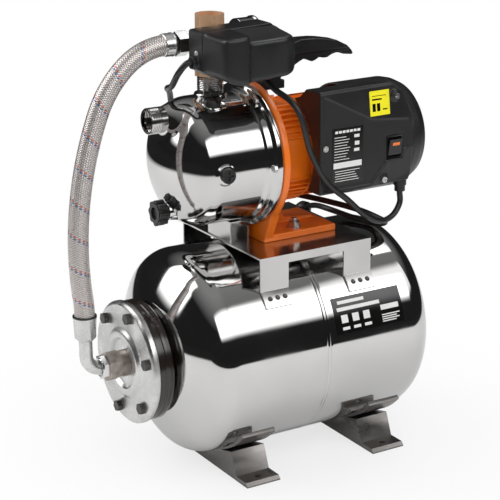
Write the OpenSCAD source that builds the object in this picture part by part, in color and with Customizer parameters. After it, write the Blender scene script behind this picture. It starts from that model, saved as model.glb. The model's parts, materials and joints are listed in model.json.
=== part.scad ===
// Shallow well jet pump set: stainless jet pump and motor on a horizontal pressure tank.
// Millimetres. X runs from the tank flange to the motor end, Y is across, Z is up.
// The origin is on the floor, midway between the four foot holes.

/* [Tank] */
// outside radius of the tank shell
tank_r = 135; // [134:0.5:136]
// height of the tank axis above the floor
tank_axis_h = 160; // [158:0.5:164]
// wall of the tank shell
tank_wall = 1.2; // [1:0.1:2]
// radius of the bolted end flange
flange_r = 79.5; // [78:0.5:80]
// radius of the circle of flange bolts
flange_bolt_circle_r = 66; // [65:0.5:67]
// distance from the weld seam to the front foot
front_foot_x = 86; // [84:1:90]
// distance from the weld seam to the rear foot
rear_foot_x = 111; // [106:1:114]
// distance of the foot holes from the centre plane
foot_hole_y = 98; // [95:1:102]
// radius of the foot holes
foot_hole_r = 4.5; // [3.5:0.5:5]
// height of the platform top above the floor
platform_h = 300; // [298:0.5:301]

/* [Pump] */
// height of the pump and motor axis
pump_axis_h = 410; // [409:0.5:412]
// radius of the pump casing barrel
casing_r = 82; // [81:0.5:83]
// radius of the casing rim
casing_rim_r = 92; // [91:0.5:92.5]
// height of the suction port above the pump axis
suction_rise = 59; // [57:0.5:61]
// radius of the male suction and outlet threads
port_r = 16.6; // [16.4:0.1:16.8]
// outside radius of the five way fitting
fitting_r = 18.3; // [18:0.1:19]

/* [Motor] */
// outside radius over the cooling fins
fin_r = 66; // [65.5:0.1:66.5]
// outside radius of the fan cowl
cowl_r = 73.5; // [73:0.5:76]
// number of cooling fins
fin_count = 36; // [24:1:44]
// radius of the shaft at the bearings
shaft_r = 7.5; // [7:0.1:7.5]

/* [Hose and gauge] */
// outside radius of the braided hose
hose_r = 12.8; // [12:0.1:13]
// radius of the pressure gauge case
gauge_r = 23; // [20:0.5:23]

/* [Hidden] */
$fn = 96;
run_gap = 0.05;
hex_r = 1 / sqrt(3);

// the modules are drawn with the tank's weld seam at X = 0 and are then moved back by this much
seam_back = (rear_foot_x - front_foot_x) / 2;

half_barrel = 132;
tank_crown_r = 200;
tank_knuckle_r = 40;
neck_r = 60;
flange_face_x = -225;
flange_back_x = -215;
neck_end_x = -194.1;
bolt_start = 14;

seal_x = -47;
rim_back_x = -43;
adapter_x = -34;
casing_barrel_x = -122;
casing_crown_r = 120;
casing_knuckle_r = 34;
casing_wall = 2;
outlet_x = -94;
outlet_top_z = 518;
suction_mouth_x = -185;
hose_port_z = 561;
switch_port_z = 556;
drain_z = -60;
drain_face_x = -160.5;
side_plug_x = -120;
filler_angle = 20;
filler_x = -108;
filler_y = casing_r * sin(filler_angle);

housing_x0 = 18;
housing_x1 = 112;
housing_ri = 58;
rear_shield_x1 = 126;
bearing_r = 17.5;
bearing_w = 11;
front_bearing_x = 5;
rear_bearing_x = 113;
cowl_x1 = 200;

// ---------- shared shapes ----------
module rod_x(x0, x1, r) { translate([x0, 0, 0]) rotate([0, 90, 0]) cylinder(h = x1 - x0, r = r); }
module cone_x(x0, x1, ra, rb) {
    translate([x0, 0, 0]) rotate([0, 90, 0]) cylinder(h = x1 - x0, r1 = ra, r2 = rb);
}
module tube_x(x0, x1, ro, ri) {
    difference() { rod_x(x0, x1, ro); rod_x(x0 - 1, x1 + 1, ri); }
}
module hex_x(x0, x1, flats) {
    translate([x0, 0, 0]) rotate([0, 90, 0]) cylinder(h = x1 - x0, r = flats * hex_r, $fn = 6);
}
module rod_y(y0, y1, r) { translate([0, y1, 0]) rotate([90, 0, 0]) cylinder(h = y1 - y0, r = r); }
module hex_y(y0, y1, flats) {
    translate([0, y1, 0]) rotate([90, 0, 0]) cylinder(h = y1 - y0, r = flats * hex_r, $fn = 6);
}
module rod_z(z0, z1, r) { translate([0, 0, z0]) cylinder(h = z1 - z0, r = r); }
module hex_z(z0, z1, flats) { translate([0, 0, z0]) cylinder(h = z1 - z0, r = flats * hex_r, $fn = 6); }
module box(x0, x1, y0, y1, z0, z1) { translate([x0, y0, z0]) cube([x1 - x0, y1 - y0, z1 - z0]); }
module at_tank() { translate([0, 0, tank_axis_h]) children(); }
module at_pump() { translate([0, 0, pump_axis_h]) children(); }
module ring_of(n, r, start = 0) { for (i = [0:n - 1]) rotate([start + i * 360 / n, 0, 0]) translate([0, 0, r]) children(); }
// polygon given as X, Z pairs, extruded between two Y planes
module plate_y(y0, y1, pts) { translate([0, y1, 0]) rotate([90, 0, 0]) linear_extrude(height = y1 - y0) polygon(pts); }
// polygon given as Y, Z pairs, extruded between two X planes
module plate_x(x0, x1, pts) {
    translate([x0, 0, 0]) rotate([90, 0, 90]) linear_extrude(height = x1 - x0) polygon(pts);
}

// dished head and half barrel, profile for turning: X is radius, Y is axial
module dished(r, crown, knuckle, barrel, off) {
    kx = r - knuckle;
    depth = sqrt(pow(crown - knuckle, 2) - pow(kx, 2));
    big = 3 * crown;
    intersection() {
        translate([0, -depth]) circle(r = crown - off);
        polygon([[0, -depth], [0, big], [big * kx / depth, big - depth]]);
    }
    intersection() { translate([kx, 0]) circle(r = knuckle - off); square([big, big]); }
    polygon([[0, 0], [kx, 0], [0, -depth]]);
    translate([0, -barrel]) square([r - off, barrel]);
}
module head_x(r, crown, knuckle, barrel, off) {
    rotate([0, 90, 0]) rotate_extrude() dished(r, crown, knuckle, barrel, off);
}

// ---------- tank ----------
module tank_solid(off) {
    for (s = [0, 180]) rotate([0, 0, s]) translate([half_barrel, 0, 0])
        head_x(tank_r, tank_crown_r, tank_knuckle_r, half_barrel, off);
}
valve_x = half_barrel + tank_crown_r - sqrt(pow(tank_crown_r - tank_knuckle_r, 2) - pow(tank_r - tank_knuckle_r, 2));
module tank_shell() {
    lap = 0.7;
    color("silver") at_tank() difference() {
        union() { tank_solid(0); rod_x(-3, 3, tank_r + lap); }
        tank_solid(tank_wall);
        rod_x(-240, -120, neck_r);
        rod_x(valve_x - 20, valve_x + 10, 6);
    }
}
module tank_neck_ring() {
    color("#201a18") at_tank() difference() {
        rod_x(flange_back_x, neck_end_x, flange_r - 1.5);
        rod_x(flange_back_x - 1, neck_end_x + 1, neck_r);
        rod_x(flange_back_x - 1, flange_back_x + 2, neck_r + 1.5);
        ring_of(6, flange_bolt_circle_r, bolt_start) rod_x(flange_back_x - 1, neck_end_x - 3, 4);
    }
}
module bag2d(off) {
    bag_r = 105;
    translate([0, -60]) square([bag_r - off, 120]);
    intersection() { translate([0, 60]) circle(r = bag_r - off); translate([0, 60]) square([200, 200]); }
    intersection() { translate([0, -60]) circle(r = bag_r - off); translate([0, -260]) square([200, 200]); }
}
module tank_membrane() {
    bag_wall = 2;
    neck_o = 55;
    color("#303030") at_tank() difference() {
        union() {
            rotate([0, 90, 0]) rotate_extrude() bag2d(0);
            rod_x(flange_back_x, -120, neck_o);
            rod_x(flange_back_x, flange_back_x + 2, neck_r + 1);
        }
        rotate([0, 90, 0]) rotate_extrude() bag2d(bag_wall);
        rod_x(flange_back_x - 1, -110, neck_o - bag_wall);
    }
}
module tank_flange() {
    color("gainsboro") at_tank() difference() {
        union() {
            rod_x(flange_face_x + 6, flange_back_x, flange_r);
            cone_x(flange_face_x, flange_face_x + 6, 73, flange_r);
            cone_x(flange_face_x - 4, flange_face_x, 42, 46);
        }
        cone_x(flange_face_x - 5, flange_face_x + 1, 33, 30);
        rod_x(flange_face_x - 1, flange_back_x + 1, 14);
        ring_of(6, flange_bolt_circle_r, bolt_start) rod_x(flange_face_x - 1, flange_back_x + 1, 4.2);
    }
}
module tank_flange_bolts() {
    color("#4a4a4c") at_tank() ring_of(6, flange_bolt_circle_r, bolt_start) {
        hex_x(flange_face_x - 6, flange_face_x, 13);
        rod_x(flange_face_x, neck_end_x - 3, 4);
    }
}
module tank_nipple() {
    color("#8a7d72") at_tank() difference() {
        union() {
            rod_x(-236, -196, 14);
            hex_x(-252, -236, 34);
            rod_x(-236, flange_face_x + 1, 17);
        }
        rod_x(-260, -190, 9.5);
    }
}
// strap bent round the tank axis; angles run from straight down toward +Y
module strap(x0, w, ri, ro, a0, a1) {
    at_tank() translate([x0, 0, 0]) rotate([0, 90, 0]) rotate([0, 0, a0])
        rotate_extrude(angle = a1 - a0) translate([ri, 0]) square([ro - ri, w]);
}
// trims a foot or leg back to the middle of the strap that it is welded to
module saddle_cut(sheet) { at_tank() rod_x(-half_barrel - 20, half_barrel + 20, tank_r + sheet / 2); }
module foot(xc) {
    foot_half = 25;
    toe_y = 112;
    sheet = 3;
    lip_h = 6;
    edge = [[-toe_y, 0], [-toe_y, 2], [-toe_y + 4, lip_h], [-84, lip_h], [-72, 36], [-45, 29.5], [-42, 34], [0, 34]];
    difference() {
        translate([xc, 0, 0]) for (s = [0, 180]) rotate([0, 0, s]) {
            // toe folded double, riser and cross strap from one strip
            plate_x(-foot_half, foot_half, concat(edge, [[0, 19], [-30, 22], [-45, 26], [-70.2, 32.4],
                [-83.2, 0]]));
            // folded side walls
            for (x = [-foot_half, foot_half - sheet]) plate_x(x, x + sheet, concat(edge, [[0, 0]]));
        }
        for (s = [-1, 1]) translate([xc, s * foot_hole_y, 0]) rod_z(-1, 20, foot_hole_r);
        saddle_cut(sheet);
    }
    strap(xc - foot_half + 0.5, 2 * foot_half - 1, tank_r + run_gap, tank_r + sheet, -47, 47);
}
module tank_feet() { color("#6c6a6a") { foot(-front_foot_x); foot(rear_foot_x); } }

platform_x0 = -82;
platform_x1 = 86;
platform_y = 98;
leg_w = 42;
module pump_platform() {
    sheet = 2.5;
    apron = 11;
    leg_foot_z = tank_axis_h + 85;
    color("lightgray") {
        difference() {
            union() {
                box(platform_x0, platform_x1, -platform_y, platform_y, platform_h - sheet, platform_h);
                for (s = [-1, 1]) {
                    y = s * (platform_y - sheet / 2);
                    box(platform_x0, platform_x1, y - sheet / 2, y + sheet / 2, platform_h - apron, platform_h);
                    for (x = [platform_x0, platform_x1 - leg_w])
                        box(x, x + leg_w, y - sheet / 2, y + sheet / 2, leg_foot_z, platform_h);
                }
            }
            saddle_cut(sheet);
            for (s = [-1, 1]) translate([12, s * 30, 0]) rod_z(platform_h - 9, platform_h + 1, 4.2);
        }
        for (x = [platform_x0, platform_x1 - leg_w]) {
            for (a = [-136, 125]) strap(x + 0.5, leg_w - 1, tank_r + run_gap, tank_r + sheet, a, a + 11);
        }
    }
}
module casing_support() {
    top = pump_axis_h - casing_r;
    color("silver") difference() {
        union() {
            box(-80, -52, -22, 34, top - 2, top);
            box(-80, -78, -22, 34, platform_h, top - 2);
            box(-54, -52, -22, 34, platform_h, top - 2);
        }
        // room for the beads of the casing rim
        at_pump() { rod_x(-63.5, -40, 86.5); rod_x(-54.5, -40, 92.5); }
    }
}
module air_valve_body() {
    color("goldenrod") at_tank() difference() {
        union() { rod_x(valve_x - 8, valve_x + 12, 6); hex_x(valve_x, valve_x + 5, 16); }
        rod_x(valve_x - 9, valve_x + 13, 2.5);
    }
}
module air_valve_core() {
    color("gold") at_tank() { rod_x(valve_x - 4, valve_x + 11, 1.2); rod_x(valve_x - 1, valve_x + 2, 2.45); }
}
module air_valve_cap() {
    color("#1b1b1b") at_tank() difference() {
        union() { rod_x(valve_x + 5.1, valve_x + 22, 9.5); }
        rod_x(valve_x + 5, valve_x + 19, 6 + run_gap);
    }
}

// ---------- hose ----------
hose_start_x = -156;
hose_bends = [[86, 40.5], [141, 28], [460, 28.7], [200, -7.2]];
// running heading, and end point after bend n, measured from the upper end
function heading(n) = n == 0 ? 0 : heading(n - 1) + hose_bends[n - 1][1];
function bend_x(n) = n == 0 ? hose_start_x
    : bend_x(n - 1) - sign(hose_bends[n - 1][1]) * hose_bends[n - 1][0] * (sin(heading(n)) - sin(heading(n - 1)));
function bend_z(n) = n == 0 ? hose_port_z
    : bend_z(n - 1) + sign(hose_bends[n - 1][1]) * hose_bends[n - 1][0] * (cos(heading(n)) - cos(heading(n - 1)));
module hose_run(ro, ri) {
    joint = 0.6;
    last = len(hose_bends) - 1;
    for (i = [0:last]) {
        bend_r = hose_bends[i][0];
        turn = hose_bends[i][1];
        h = heading(i);
        side = sign(turn);
        trim = joint / bend_r * 180 / PI;
        from = i == 0 ? 0 : trim;
        to = abs(turn) - (i == last ? 0 : trim);
        // centre of the bend lies square to the heading, below it for a positive turn
        translate([bend_x(i) + side * bend_r * sin(h), 0, bend_z(i) - side * bend_r * cos(h)])
            rotate([90, 0, 0]) rotate([0, 0, side > 0 ? 90 + h + from : h - 90 - to])
            rotate_extrude(angle = to - from) translate([bend_r, 0]) difference() { circle(r = ro); circle(r = ri); }
    }
    for (n = [1:last]) translate([bend_x(n), 0, bend_z(n)]) rotate([0, 90 - heading(n), 0]) difference() {
        cylinder(h = 4 * joint, r = ro + 0.1, center = true);
        cylinder(h = 5 * joint, r = ri - 0.1, center = true);
    }
}
hose_end_x = bend_x(4);
hose_end_z = bend_z(4);
module braided_hose() { color("#c9c3bf") hose_run(hose_r, 8); }
module ferrule(h) {
    difference() {
        union() {
            rod_z(0, h - 3, 14.4);
            rod_z(h - 3, h, 15);
            translate([0, 0, -4]) cylinder(h = 4, r1 = 10.5, r2 = 14.4);
        }
        rod_z(-5, h + 1, 8.5);
    }
}
elbow_bend = 21;
module hose_ferrules() {
    color("gainsboro") {
        translate([hose_end_x, 0, hose_end_z - 27]) ferrule(27);
        translate([hose_start_x + 9, 0, hose_port_z]) rotate([0, -90, 0]) ferrule(9);
    }
}
module hose_elbow() {
    leg_z = tank_axis_h + elbow_bend;
    color("gainsboro") difference() {
        union() {
            translate([hose_end_x, 0, 0]) rod_z(leg_z, hose_end_z - 1, 8.5);
            translate([hose_end_x + elbow_bend, 0, leg_z]) rotate([90, 0, 0]) rotate([0, 0, 180])
                rotate_extrude(angle = 90) translate([elbow_bend, 0]) circle(r = 8.5);
            at_tank() { rod_x(hose_end_x + elbow_bend, -252, 8.5); rod_x(-254, -246, 9.5); }
        }
        translate([hose_end_x, 0, 0]) rod_z(leg_z, hose_end_z, 6.5);
        translate([hose_end_x + elbow_bend, 0, leg_z]) rotate([90, 0, 0]) rotate([0, 0, 180])
            rotate_extrude(angle = 90) translate([elbow_bend, 0]) circle(r = 6.5);
        at_tank() rod_x(hose_end_x + elbow_bend, -240, 6.5);
    }
}
module elbow_nut() {
    color("silver") at_tank() difference() {
        union() { hex_x(-259, -252, 27); cone_x(-260.5, -259, 12, 13.2); }
        rod_x(-255, -251, 9.6);
        rod_x(-263, -250, 8.6);
        // room for the bend of the elbow
        cone_x(-261, -254.2, 11.2, 8.6);
    }
}
module hose_upper_nut() {
    color("dimgray") translate([0, 0, hose_port_z]) difference() {
        union() { hex_x(hose_start_x + 13, -128, 28); rod_x(-130, -100, 10.2); }
        rod_x(hose_start_x, -90, 6.5);
    }
}

// ---------- pump ----------
module casing_outer(off) {
    translate([casing_barrel_x, 0, 0]) mirror([1, 0, 0])
        head_x(casing_r, casing_crown_r, casing_knuckle_r, 60, off);
}
module pump_casing() {
    color("silver") difference() {
        union() {
            at_pump() {
                casing_outer(0);
                cone_x(-63, -60, casing_r, 86);
                rod_x(-60, -54, 86);
                cone_x(-54, -50, 86, casing_rim_r);
                rod_x(-50, rim_back_x, casing_rim_r);
                // swelling behind the suction port
                translate([-150, 0, suction_rise]) rod_x(0, 40, 25);
                translate([-150, 0, suction_rise]) sphere(r = 25);
            }
            // collar under the outlet
            translate([outlet_x, 0, 0]) rod_z(pump_axis_h + 60, pump_axis_h + casing_r + 3, 21);
            at_pump() translate([side_plug_x, 0, 0]) rod_y(-casing_r - 1, -70, 12.5);
            at_pump() translate([filler_x, 0, 0]) rotate([filler_angle, 0, 0]) rod_z(70, casing_r + 1, 13);
            at_pump() translate([0, 0, drain_z]) rod_x(drain_face_x, -130, 11);
        }
        at_pump() {
            casing_outer(casing_wall);
            rod_x(-62.5, -50, casing_r - casing_wall);
            rod_x(-52, rim_back_x + 1, 84);
            translate([0, 0, suction_rise]) rod_x(-180, -110, 14);
            translate([side_plug_x, 0, 0]) rod_y(-100, -60, 6 + run_gap);
            translate([filler_x, 0, 0]) rotate([filler_angle, 0, 0]) rod_z(60, 100, 8 + run_gap);
            translate([0, 0, drain_z]) rod_x(-180, -110, 5 + run_gap);
            ring_of(6, 88, 30) { rod_x(-53, -40, 3.2); rod_x(-57, -52.15, 5); }
            translate([0, 0, suction_rise]) rod_x(-180, -163, 15.5);
        }
        translate([outlet_x, 0, 0]) rod_z(pump_axis_h + 40, pump_axis_h + 100, 14);
        translate([outlet_x, 0, 0]) rod_z(pump_axis_h + casing_r - 2, pump_axis_h + 100, port_r);
    }
}
module suction_socket() {
    color("silver") at_pump() translate([0, 0, suction_rise]) difference() {
        union() { rod_x(suction_mouth_x, -170.5, port_r); rod_x(-171, -163, 15.5); }
        rod_x(suction_mouth_x - 1, -160, 14);
    }
}
module outlet_nipple() {
    color("silver") translate([outlet_x, 0, 0]) difference() {
        rod_z(pump_axis_h + casing_r - 2, outlet_top_z + 14, port_r);
        rod_z(pump_axis_h + casing_r - 3, outlet_top_z + 15, 13.5);
    }
}
module casing_bolts() {
    color("silver") at_pump() ring_of(6, 88, 30) { hex_x(-56.2, -52.2, 8); rod_x(-52.2, -37, 3); }
}
module seal_plate() {
    color("silver") at_pump() difference() {
        union() { rod_x(seal_x, rim_back_x, 83.8); rod_x(rim_back_x, -30, 30); }
        rod_x(seal_x - 1, -29, 8.5);
        rod_x(-36, -29, 14.05);
    }
}
module ejector() {
    color("#c9b27c") at_pump() difference() {
        union() {
            rod_x(-104, -90, 20);
            cone_x(-145, -104, 11, 20);
            rod_x(-156, -145, 11);
        }
        cone_x(-146, -89, 5, 15);
        cone_x(-157, -145, 8, 5);
    }
}
module diffuser() {
    color("#3a3f45") at_pump() difference() {
        union() { rod_x(-90, -86, 74); tube_x(-90, -66, 74, 66); }
        rod_x(-91, -85, 15);
        ring_of(8, 55) rod_x(-91, -85, 6);
    }
}
module impeller() {
    vane_count = 6;
    color("#8c8f90") at_pump() difference() {
        union() {
            rod_x(-56, -53, 62);
            tube_x(-70, -67, 62, 16);
            tube_x(-78, -67, 17, 14);
            rod_x(-66, -50, 11);
            difference() {
                ring_of(vane_count, 0) rotate([18, 0, 0]) box(-67.5, -55.5, -1.5, 1.5, 18, 61);
                rod_x(-80, -40, 17.5);
            }
        }
        rod_x(-80, -40, 6);
    }
}
module seal_seat() { color("ivory") at_pump() tube_x(-36, -31, 14, 8); }
module seal_rotor() {
    color("#555555") at_pump() tube_x(-50, -47.05, 13, 6);
}
module filler_frame() { translate([filler_x, 0, pump_axis_h]) rotate([filler_angle, 0, 0]) translate([0, 0, casing_r + 1]) children(); }
module filler_plug() {
    color("#1a1a1a") filler_frame() difference() {
        union() { rod_z(2 + run_gap, 9, 10.5); rod_z(-14, 3, 8); }
        box(-11, 11, -1.5, 1.5, 6, 10);
        box(-1.5, 1.5, -11, 11, 6, 10);
    }
}
module filler_plug_seal() { color("#0c0c0c") filler_frame() difference() { rod_z(0, 2, 10.5); rod_z(-1, 3, 8 + run_gap); } }
module side_frame() { translate([side_plug_x, -casing_r - 1, pump_axis_h]) rotate([90, 0, 0]) children(); }
module side_plug() {
    color("#1a1a1a") side_frame() difference() {
        union() { rod_z(2 + run_gap, 6, 9.5); rod_z(-12, 3, 6); }
        box(-6, 6, -1.2, 1.2, 4, 7);
        box(-1.2, 1.2, -6, 6, 4, 7);
    }
}
module side_plug_seal() { color("#0c0c0c") side_frame() difference() { rod_z(0, 2, 9); rod_z(-1, 3, 6 + run_gap); } }
module drain_frame() { translate([drain_face_x, 0, pump_axis_h + drain_z]) rotate([0, -90, 0]) children(); }
module drain_knob() {
    lobes = 8;
    color("#161616") drain_frame() difference() {
        union() {
            rod_z(2 + run_gap, 17, 13);
            for (i = [0:lobes - 1]) rotate([0, 0, i * 360 / lobes]) translate([12.5, 0, 0]) rod_z(4, 16, 4.2);
            rod_z(-14, 3, 5);
        }
        rod_z(14, 18, 8);
    }
}
module drain_knob_seal() { color("#0c0c0c") drain_frame() difference() { rod_z(0, 2, 9); rod_z(-1, 3, 5 + run_gap); } }

// ---------- motor ----------
foot_y = 45;
foot_plate = 9;
module motor_adapter() {
    lantern = 60;
    cut = 34;
    rib_top_r = 69;
    zb = -pump_axis_h + platform_h;
    color("#e8691c") at_pump() difference() {
        union() {
            rod_x(rim_back_x, adapter_x, 94);
            plate_x(adapter_x, housing_x0, [[-lantern, -lantern + cut], [-lantern + cut, -lantern], [lantern - cut, -lantern],
                [lantern, -lantern + cut], [lantern, lantern - cut], [lantern - cut, lantern],
                [-lantern + cut, lantern], [-lantern, lantern - cut]]);
            // cooling ribs on the four bevelled corners
            for (corner = [0:90:270], a = [24:7:66]) rotate([corner + a, 0, 0])
                box(adapter_x - 2, housing_x0 - 1, -1, 1, 50, rib_top_r);
            // foot: pad, cross web and long web
            box(-30, 67, -foot_y, foot_y, zb, zb + foot_plate);
            plate_x(rim_back_x, adapter_x + 4, [[-foot_y, zb], [-foot_y, zb + 5], [-62, -70], [62, -70], [foot_y, zb + 5], [foot_y, zb]]);
            plate_y(-5, 5, [[-40, zb], [-40, -50], [2, -50], [6, -82], [14, -94], [52, zb + 13], [64, zb + foot_plate], [64, zb]]);
            // lug that carries the handle
            box(adapter_x - 2, -16, -12, 12, 55, 80);
        }
        rod_x(-44, -28, 30.1);
        rod_x(-30, front_bearing_x, 46);
        rod_x(0, front_bearing_x + bearing_w, bearing_r);
        rod_x(10, 30, 10);
        ring_of(6, 88, 30) rod_x(-44, -30, 3);
        for (s = [-1, 1]) translate([12, s * 30, 0]) rod_z(zb - 1, zb + 20, 4.2);
    }
}
module motor_housing() {
    color("#e8691c") at_pump() difference() {
        union() {
            rod_x(housing_x0, housing_x1, 61);
            for (i = [0:fin_count - 1]) rotate([i * 360 / fin_count, 0, 0])
                box(housing_x0 + 2, housing_x1 - 2, -1, 1, 60, fin_r);
            tube_x(housing_x1 - 5, housing_x1, fin_r, 60);
            tube_x(housing_x0, housing_x0 + 4, fin_r, 60);
        }
        rod_x(housing_x0 - 1, housing_x1 + 1, housing_ri);
    }
}
module stator_core() { color("#5d6166") at_pump() tube_x(28, 100, housing_ri, 32.5); }
module stator_windings() { color("#b5652b") at_pump() { tube_x(20, 28, 52, 36); tube_x(100, 110, 52, 36); } }
module rotor_core() { color("#9a9da0") at_pump() tube_x(28, 100, 32, 10); }
module motor_shaft() {
    color("silver") at_pump() {
        rod_x(-72, -20, 6);
        rod_x(-20, 28, shaft_r);
        rod_x(28, 100, 10);
        rod_x(100, 128, shaft_r);
        rod_x(128, 168, 6);
    }
}
module bearing(x) { translate([x, 0, 0]) tube_x(0, bearing_w, bearing_r, shaft_r + run_gap); }
module motor_bearings() { color("lightsteelblue") at_pump() { bearing(front_bearing_x); bearing(rear_bearing_x); } }
module rear_shield() {
    color("#e8691c") at_pump() difference() {
        union() { rod_x(housing_x1, housing_x1 + 6, 64); rod_x(housing_x1, rear_shield_x1, 24); }
        rod_x(housing_x1 - 1, rear_bearing_x + bearing_w, bearing_r);
        rod_x(100, rear_shield_x1 + 1, 8.5);
    }
}
module cooling_fan() {
    blades = 7;
    color("#202225") at_pump() difference() {
        union() {
            rod_x(140, 164, 14);
            rod_x(160, 163, 58);
            ring_of(blades, 0) box(138, 160.5, -1.2, 1.2, 12, 58);
        }
        rod_x(130, 170, 6);
    }
}
cover_front_y = -95;
cover_x0 = 8;
cover_bottom = -43;
cover_top = 89;
module cover_body(inset) {
    t = inset;
    // box over the terminals, its outline seen from the front and from the side
    intersection() {
        plate_y(cover_front_y + t, -20 - t, [[cover_x0 + t, cover_bottom + t], [cover_x0 + t, cover_top - t],
            [118, cover_top + 1 - t], [136 - t, 76], [150 - t, 44], [152 - t, 0], [152 - t, -36], [148 - t, cover_bottom + t]]);
        plate_x(cover_x0, 170, [[cover_front_y + t, cover_bottom + t], [cover_front_y + t, 86 - t],
            [cover_front_y + 3 + t, cover_top - t], [-62, cover_top - 1 - t], [-48, 76 - t], [-20, 66 - t], [-20, cover_bottom + t]]);
    }
    // cowl with an end that rounds off in three steps
    rod_x(98, cowl_x1 - 28, cowl_r - t);
    cone_x(cowl_x1 - 28, cowl_x1 - 17, cowl_r - t, cowl_r - 2.5 - t);
    cone_x(cowl_x1 - 17, cowl_x1 - 6 - t / 2, cowl_r - 2.5 - t, cowl_r - 8 - t);
    cone_x(cowl_x1 - 6 - t / 2, cowl_x1 - t, cowl_r - 8 - t, cowl_r - 16 - t);
}
rocker_x = 124;
rocker_z = 5;
module motor_cover() {
    wall = 2.6;
    color("#2a2a2c") at_pump() difference() {
        cover_body(0);
        cover_body(wall);
        rod_x(0, 119, fin_r + 0.3);
        rod_x(0, housing_x0 + 2, 79);
        // sunk panel for the rating plate, left open toward the tank end
        plate_y(cover_front_y - 1, cover_front_y + 1.2, [[14, -39], [14, 83], [88, 46], [144, 40], [144, 2], [118, -6], [86, -39]]);
        box(rocker_x - 13, rocker_x + 13, cover_front_y - 1, cover_front_y + 4, rocker_z - 16, rocker_z + 16);
        // air slots in the end of the cowl
        for (k = [-4:4]) box(cowl_x1 - 20, cowl_x1 + 1, -sqrt(2700 - pow(k * 11, 2)), sqrt(2700 - pow(k * 11, 2)), k * 11 - 3, k * 11 + 3);
        for (p = screw_spots) translate([p[0], 0, p[1]]) rod_y(cover_front_y - 1, cover_front_y + 8, 2.1);
        translate([gland_x, gland_y, 0]) rod_z(cover_bottom - 2, cover_bottom + 6, 5);
    }
}
screw_spots = [[124, 72], [11.5 + 4, 17], [107, -36]];
gland_x = 142;
gland_y = -82;
module rocker_bezel() {
    color("#111111") at_pump() translate([rocker_x, cover_front_y + 4, rocker_z]) difference() {
        box(-13, 13, -3, 0, -16, 16);
        box(-10, 10, -4, 1, -13, 13);
        translate([0, rocker_pin_y, 0]) rod_x(-12, 12, 1.2 + run_gap);
    }
}
rocker_pin_y = -1.5;
module switch_rocker() {
    color("#0d0d0d") at_pump() translate([rocker_x, cover_front_y + 4, rocker_z]) {
        plate_x(-9.9, 9.9, [[0, -10.2], [-2.6, -10.8], [-4.4, 0], [-6.6, 10.6], [-0.4, 11], [1.4, 0]]);
        translate([0, rocker_pin_y, 0]) rod_x(-11.5, 11.5, 1.2);
    }
}
module cover_screws() {
    color("silver") at_pump() for (p = screw_spots) translate([p[0], 0, p[1]]) difference() {
        union() { rod_y(cover_front_y - 2, cover_front_y, 4); rod_y(cover_front_y, cover_front_y + 8, 2); }
        box(-3, 3, cover_front_y - 3, cover_front_y - 1, -0.6, 0.6);
    }
}
module base_bolts() {
    color("silver") for (s = [-1, 1]) translate([12, s * 30, platform_h]) {
        rod_z(-6.5, 22, 4);
        difference() { rod_z(foot_plate, foot_plate + 1.6, 9); rod_z(0, 20, 4); }
        difference() { hex_z(foot_plate + 1.6, foot_plate + 8, 13); rod_z(0, 20, 4); }
        difference() { hex_z(-6.2, -2.5, 13); rod_z(-10, 20, 4); }
    }
}
module cable_gland() {
    color("#161616") at_pump() translate([gland_x, gland_y, cover_bottom]) difference() {
        union() { rod_z(-8, 0, 8.5); rod_z(-16, -8, 7); rod_z(0, 6, 5); }
        rod_z(-17, 7, 4);
    }
}

// ---------- fittings above the pump ----------
module five_way_fitting() {
    color("#c08a4e") translate([outlet_x, 0, 0]) difference() {
        union() {
            rod_z(outlet_top_z, 594, fitting_r);
            hex_z(outlet_top_z, outlet_top_z + 14, 38);
            translate([0, 0, hose_port_z]) rod_x(-18, 0, 15);
            translate([0, 0, hose_port_z]) rod_x(0, 26, 9);
            translate([0, 0, switch_port_z]) rod_y(-38, 0, 9);
        }
        rod_z(outlet_top_z - 1, outlet_top_z + 14, port_r);
        rod_z(outlet_top_z, 595, 12);
        rod_z(576, 595, 15.1);
        translate([0, 0, hose_port_z]) rod_x(-19, 0, 10.2);
        translate([0, 0, hose_port_z]) rod_x(0, 27, 5);
        translate([0, 0, switch_port_z]) rod_y(-39, 0, 5);
    }
}
switch_x0 = -138;
switch_x1 = -8;
switch_top = 583;
switch_low = 526;
switch_back_y = -25;
switch_seam_y = -58;
switch_front_y = -114;
module switch_side(t) {
    polygon([[switch_x0 + t, switch_low + 10], [switch_x0 + t, switch_top - 2 - t], [switch_x0 + 2 + t, switch_top - t],
        [-41, switch_top + 3 - t], [-30 - t, 576.5 - t / 2], [-12 - t, 559], [switch_x1 - t, 549], [switch_x1 - t, 543],
        [switch_x1 - 3 - t, 535 + t], [switch_x1 - 22, switch_low + t], [-100, switch_low - 3 + t], [switch_x0 + 12, switch_low + 2 + t]]);
}
module switch_plan(t) {
    polygon([[switch_x0 + t, switch_seam_y], [switch_x0 + t, switch_front_y + 8], [switch_x0 + 2 + t, switch_front_y + 2 + t],
        [switch_x0 + 8, switch_front_y + t], [-112, switch_front_y + t], [-104, switch_front_y + 2 + t], [-99, switch_front_y + 12 + t],
        [-93, switch_front_y + 17 + t], [-40, switch_front_y + 19 + t], [-25 - t, switch_front_y + 28],
        [switch_x1 - 8 - t, -74], [switch_x1 - t, switch_seam_y]]);
}
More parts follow.
